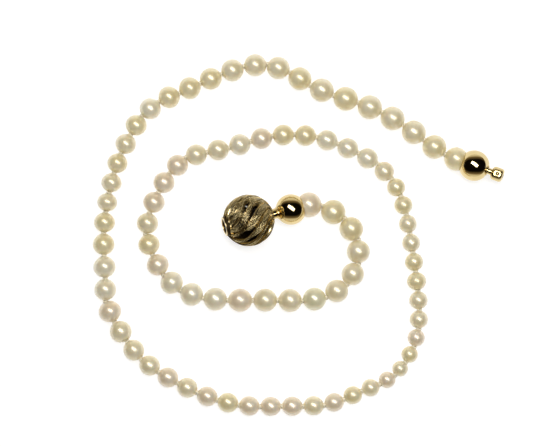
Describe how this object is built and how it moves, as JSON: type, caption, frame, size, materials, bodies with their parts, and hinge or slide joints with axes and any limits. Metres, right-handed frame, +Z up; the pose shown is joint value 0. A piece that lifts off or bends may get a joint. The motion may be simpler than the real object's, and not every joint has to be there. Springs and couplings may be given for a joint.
{
  "type": "pearl necklace",
  "caption": "Graduated strand of round pearls knotted on silk, lying coiled, with polished gold end balls and a swirl-banded gold ball clasp with a sprung tongue.",
  "frame": {"origin": "centre of the coiled necklace's box, on the table it lies on", "axes": "+Z up from the table; +X towards the free tongue, +Y towards the far side of the coil"},
  "size_m": [0.1008, 0.0892, 0.0128],
  "materials": {
    "pearl": "lustrous nacre",
    "silk": "twisted and knotted",
    "polished_gold": "high polish",
    "brushed_gold": "grained and bright cut",
    "spring_steel": "bright wire"
  },
  "bodies": {
    "strand_10": {"pearls_10": "pearl", "silk_10": "silk"},
    "strand_01": {"pearls_01": "pearl", "silk_01": "silk"},
    "strand_02": {"pearls_02": "pearl", "silk_02": "silk"},
    "strand_03": {"pearls_03": "pearl", "silk_03": "silk"},
    "strand_04": {"pearls_04": "pearl", "silk_04": "silk"},
    "strand_05": {"pearls_05": "pearl", "silk_05": "silk"},
    "strand_06": {"pearls_06": "pearl", "silk_06": "silk"},
    "strand_07": {"pearls_07": "pearl", "silk_07": "silk"},
    "strand_08": {"pearls_08": "pearl", "silk_08": "silk"},
    "strand_09": {"pearls_09": "pearl", "silk_09": "silk"},
    "strand_11": {"pearls_11": "pearl", "silk_11": "silk"},
    "strand_12": {"pearls_12": "pearl", "silk_12": "silk"},
    "strand_13": {"pearls_13": "pearl", "silk_13": "silk"},
    "strand_14": {"pearls_14": "pearl", "silk_14": "silk"},
    "strand_15": {"pearls_15": "pearl", "silk_15": "silk"},
    "strand_16": {"pearls_16": "pearl", "silk_16": "silk"},
    "strand_17": {"pearls_17": "pearl", "silk_17": "silk"},
    "strand_18": {"pearls_18": "pearl", "silk_18": "silk"},
    "strand_19": {"pearls_19": "pearl", "silk_19": "silk"},
    "strand_20": {"pearls_20": "pearl", "silk_20": "silk"},
    "outer_silk_end": {"silk_end_outer": "silk"},
    "outer_end": {"end_ball_outer": "polished_gold", "tongue": "polished_gold", "detent_spring": "spring_steel"},
    "detent": {"detent_ball": "polished_gold"},
    "inner_silk_end": {"silk_end_inner": "silk"},
    "inner_end": {"end_ball_inner": "polished_gold", "neck_post": "polished_gold", "swivel_washer": "polished_gold"},
    "clasp_ball": {"swirl_bands": "brushed_gold", "neck_collar": "polished_gold", "socket_collar": "polished_gold", "core_sleeve": "polished_gold"}
  },
  "joints": [
    {"name": "ball_swivel", "type": "hinge", "parent": "inner_end", "child": "clasp_ball", "pos_m": [-0.01212, 0.00366, 0.00644], "axis": [-0.946, -0.2446, 0.2127], "continuous": true},
    {"name": "detent_press", "type": "slide", "parent": "outer_end", "child": "detent", "axis": [0.1681, -0.0645, -0.9837], "range_m": [0, 0.0003], "stiffness_N_per_m": 300, "deforming": ["detent_spring"]},
    {"name": "end_roll_inner", "type": "hinge", "parent": "inner_silk_end", "child": "inner_end", "pos_m": [-0.00181, 0.00633, 0.00412], "axis": [-0.946, -0.2446, 0.2127], "range_deg": [-90, 90]},
    {"name": "end_roll_outer", "type": "hinge", "parent": "outer_silk_end", "child": "outer_end", "pos_m": [0.0431, 0.01707, 0.00384], "axis": [0.9183, -0.3525, 0.1801], "range_deg": [-90, 90]},
    {"name": "end_swing_inner", "type": "hinge", "parent": "strand_20", "child": "inner_silk_end", "pos_m": [0.00264, 0.00748, 0.00312], "axis": [0, 0, 1], "range_deg": [-15, 15]},
    {"name": "end_swing_outer", "type": "hinge", "parent": "strand_01", "child": "outer_silk_end", "pos_m": [0.03878, 0.01873, 0.003], "axis": [0, 0, 1], "range_deg": [-15, 15]},
    {"name": "strand_bend_01", "type": "hinge", "parent": "strand_02", "child": "strand_01", "pos_m": [0.02048, 0.03026, 0.00305], "axis": [0, 0, 1], "range_deg": [-10, 30]},
    {"name": "strand_bend_02", "type": "hinge", "parent": "strand_03", "child": "strand_02", "pos_m": [-0.00211, 0.04008, 0.0029], "axis": [0, 0, 1], "range_deg": [-5, 30]},
    {"name": "strand_bend_03", "type": "hinge", "parent": "strand_04", "child": "strand_03", "pos_m": [-0.02407, 0.03732, 0.00274], "axis": [0, 0, 1], "range_deg": [-3, 25]},
    {"name": "strand_bend_04", "type": "hinge", "parent": "strand_05", "child": "strand_04", "pos_m": [-0.04119, 0.02478, 0.00255], "axis": [0, 0, 1], "range_deg": [-3, 30]},
    {"name": "strand_bend_05", "type": "hinge", "parent": "strand_06", "child": "strand_05", "pos_m": [-0.04733, 0.00576, 0.00243], "axis": [0, 0, 1], "range_deg": [-3, 30]},
    {"name": "strand_bend_06", "type": "hinge", "parent": "strand_07", "child": "strand_06", "pos_m": [-0.04737, -0.01612, 0.00272], "axis": [0, 0, 1], "range_deg": [-3, 30]},
    {"name": "strand_bend_07", "type": "hinge", "parent": "strand_08", "child": "strand_07", "pos_m": [-0.03433, -0.03358, 0.00261], "axis": [0, 0, 1], "range_deg": [-3, 30]},
    {"name": "strand_bend_08", "type": "hinge", "parent": "strand_09", "child": "strand_08", "pos_m": [-0.01468, -0.04173, 0.00258], "axis": [0, 0, 1], "range_deg": [-2, 30]},
    {"name": "strand_bend_09", "type": "hinge", "parent": "strand_10", "child": "strand_09", "pos_m": [0.0064, -0.04179, 0.00249], "axis": [0, 0, 1], "range_deg": [-2, 12]},
    {"name": "strand_bend_10", "type": "hinge", "parent": "strand_10", "child": "strand_11", "pos_m": [0.02376, -0.03441, 0.00206], "axis": [0, 0, -1], "range_deg": [-4, 8]},
    {"name": "strand_bend_11", "type": "hinge", "parent": "strand_11", "child": "strand_12", "pos_m": [0.02973, -0.01833, 0.00227], "axis": [0, 0, -1], "range_deg": [-4, 6]},
    {"name": "strand_bend_12", "type": "hinge", "parent": "strand_12", "child": "strand_13", "pos_m": [0.02739, 0.00048, 0.00229], "axis": [0, 0, -1], "range_deg": [-4, 9]},
    {"name": "strand_bend_13", "type": "hinge", "parent": "strand_13", "child": "strand_14", "pos_m": [0.01938, 0.01752, 0.00256], "axis": [0, 0, -1], "range_deg": [-4, 12]},
    {"name": "strand_bend_14", "type": "hinge", "parent": "strand_14", "child": "strand_15", "pos_m": [-0.00093, 0.02485, 0.00266], "axis": [0, 0, -1], "range_deg": [-4, 10]},
    {"name": "strand_bend_15", "type": "hinge", "parent": "strand_15", "child": "strand_16", "pos_m": [-0.02236, 0.02048, 0.00266], "axis": [0, 0, -1], "range_deg": [-4, 12]},
    {"name": "strand_bend_16", "type": "hinge", "parent": "strand_16", "child": "strand_17", "pos_m": [-0.03653, 0.00565, 0.00263], "axis": [0, 0, -1], "range_deg": [-4, 25]},
    {"name": "strand_bend_17", "type": "hinge", "parent": "strand_17", "child": "strand_18", "pos_m": [-0.02897, -0.01357, 0.00282], "axis": [0, 0, -1], "range_deg": [-2, 25]},
    {"name": "strand_bend_18", "type": "hinge", "parent": "strand_18", "child": "strand_19", "pos_m": [-0.00504, -0.0159, 0.00297], "axis": [0, 0, -1], "range_deg": [-10, 25]},
    {"name": "strand_bend_19", "type": "hinge", "parent": "strand_19", "child": "strand_20", "pos_m": [0.0148, -0.00699, 0.00288], "axis": [0, 0, -1], "range_deg": [0, 25]}
  ]
}
